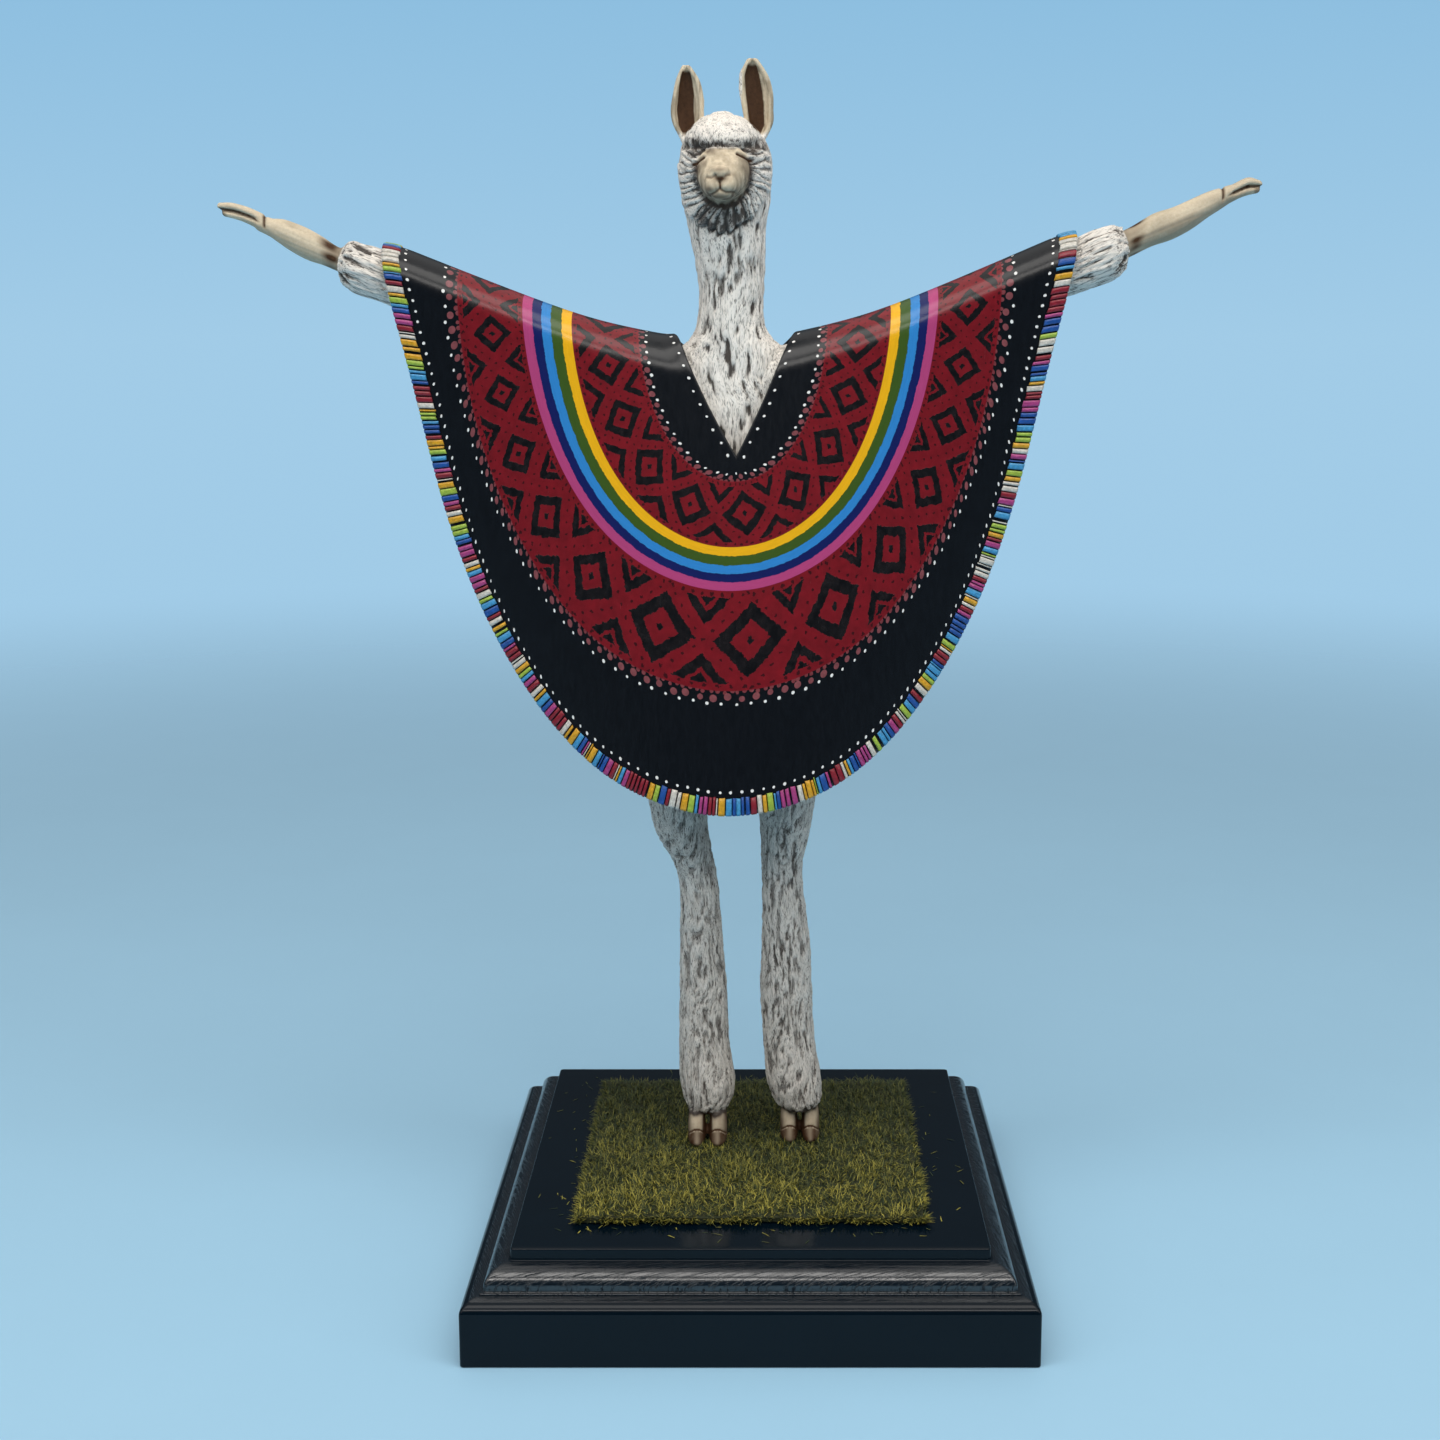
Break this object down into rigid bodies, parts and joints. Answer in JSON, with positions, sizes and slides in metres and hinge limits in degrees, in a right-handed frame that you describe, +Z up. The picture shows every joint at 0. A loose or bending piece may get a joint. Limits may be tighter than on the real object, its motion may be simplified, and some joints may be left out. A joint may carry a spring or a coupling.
{
  "type": "inca llama figure",
  "caption": "Standing llama figure with raised arms in a wide painted poncho, on a grass mat and a square moulded display base; it stands on its flat underside.",
  "frame": {"origin": "middle of the plinth's underside", "axes": "+X to the viewer's right, -Y the way the figure faces, +Z up"},
  "size_m": [0.2883, 0.15, 0.3375],
  "materials": {
    "black_lacquer": "glossy black lacquer on moulded wood",
    "grass": "matte olive-green static grass",
    "white_fur": "carved wool, washed cream white with grey-brown in the grooves",
    "painted_cloth": "black with a painted red and rainbow pattern under gloss varnish"
  },
  "bodies": {
    "root": {"plinth": "black_lacquer", "grass_patch": "grass", "llama": "white_fur", "poncho": "painted_cloth"}
  },
  "joints": []
}
